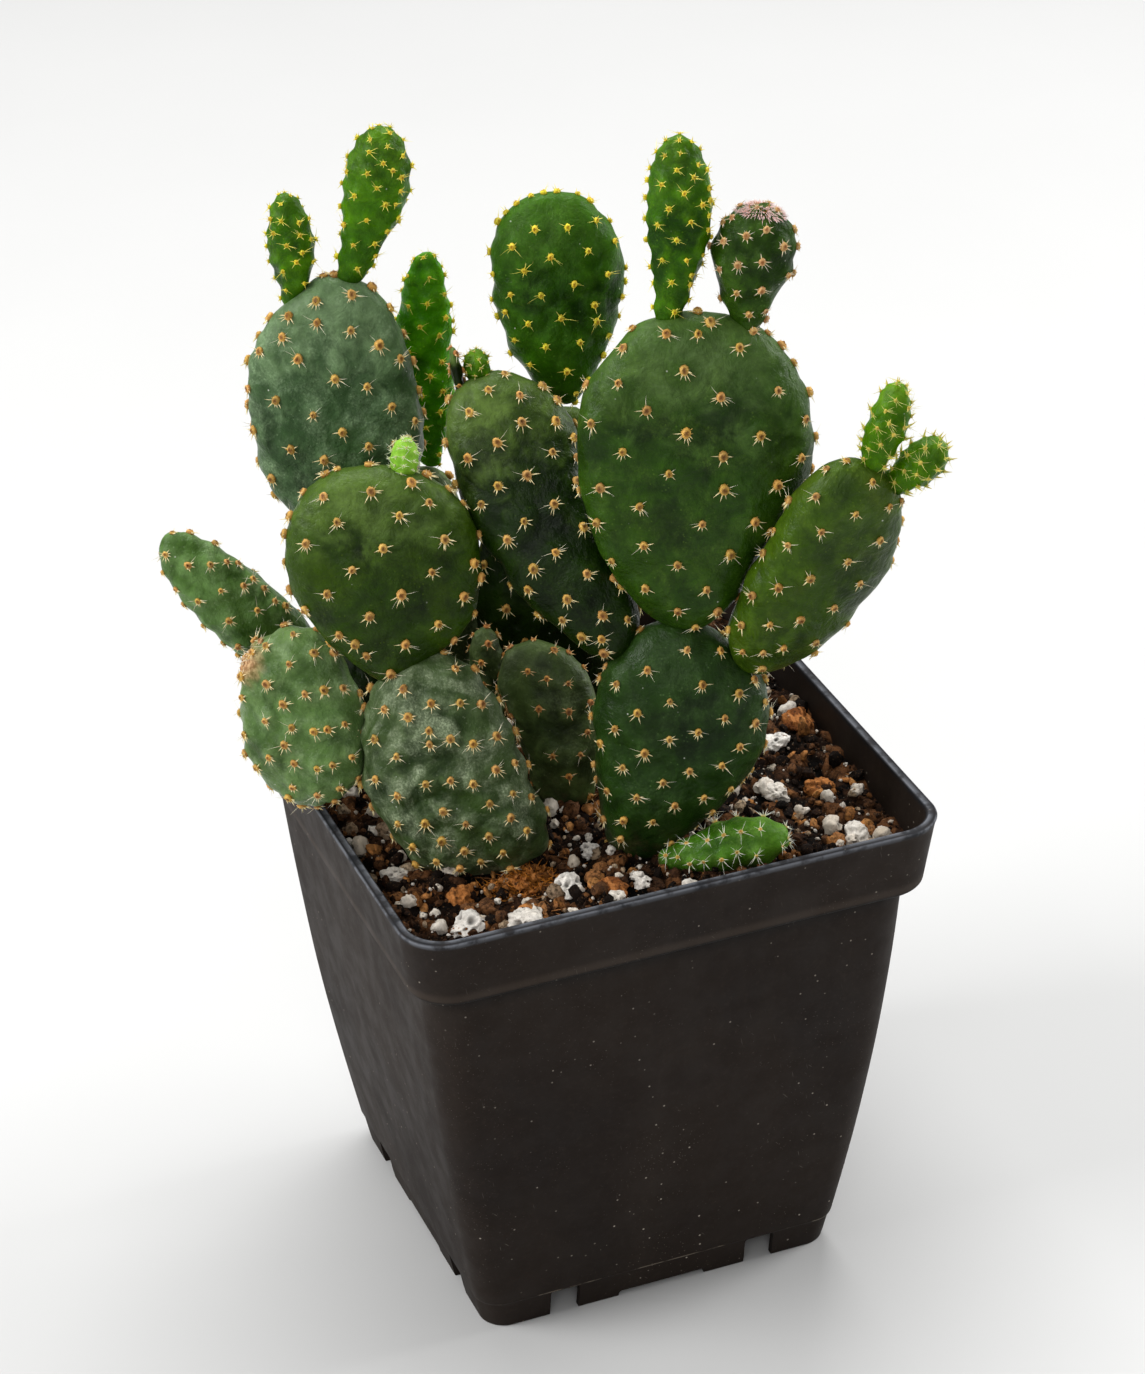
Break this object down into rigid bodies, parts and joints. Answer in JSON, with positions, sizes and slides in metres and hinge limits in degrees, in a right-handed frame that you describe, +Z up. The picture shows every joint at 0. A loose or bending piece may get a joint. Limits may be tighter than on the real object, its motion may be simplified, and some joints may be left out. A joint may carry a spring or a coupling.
{
  "type": "potted prickly pear cactus",
  "caption": "Prickly pear cactus with flat oval pads, young shoots and tan spine tufts, growing in gritty soil in a square black nursery pot.",
  "frame": {"origin": "middle of the whole object's box in plan, at the level of the pot's foot edge", "axes": "+Z up from the foot to the tallest shoot, -Y to the side of the pot that faces the viewer most, +X to its right"},
  "size_m": [0.124, 0.105, 0.2303],
  "materials": {
    "pot_plastic": "satin black moulded polypropylene, finely scuffed, greyer on the lip",
    "soil_mix": "damp dark peat and bark fines with perlite grit",
    "pad_green": "waxy dark green skin, soft highlights, slightly mottled",
    "pad_bloomed": "grey-green skin under a whitish waxy bloom",
    "pad_young": "bright green young skin, slightly glossy",
    "shoot_lime": "soft lime green new growth",
    "perlite": "white pitted expanded mineral, slightly stained",
    "bark": "orange-brown rough bark chip"
  },
  "bodies": {
    "root": {"pot": "pot_plastic", "soil": "soil_mix", "pad_base_left": "pad_bloomed", "pad_round_front": "pad_green", "bud_round_front": "shoot_lime", "pad_left_oval": "pad_green", "pad_left_sausage": "pad_green", "pad_hidden_left": "pad_green", "pad_left_tall": "pad_bloomed", "shoot_left_a": "pad_young", "shoot_left_b": "pad_young", "pad_grey_back": "pad_bloomed", "shoot_narrow": "pad_young", "stub_small": "pad_green", "pad_base_right": "pad_green", "pad_large": "pad_green", "shoot_large_a": "pad_young", "shoot_large_b": "pad_green", "pad_middle": "pad_green", "bud_middle": "pad_young", "shoot_middle_b": "pad_green", "pad_right": "pad_green", "shoot_right_a": "shoot_lime", "shoot_right_b": "shoot_lime", "pad_hidden_middle": "pad_green", "pad_upper_middle": "pad_young", "pad_small_grey": "pad_bloomed", "offset_front": "pad_young", "perlite_1": "perlite", "perlite_2": "perlite", "perlite_3": "perlite", "perlite_4": "perlite", "perlite_5": "perlite", "perlite_6": "perlite", "perlite_7": "perlite", "perlite_8": "perlite", "perlite_9": "perlite", "bark_1": "bark", "bark_2": "bark", "bark_3": "bark", "bark_4": "bark"}
  },
  "joints": []
}
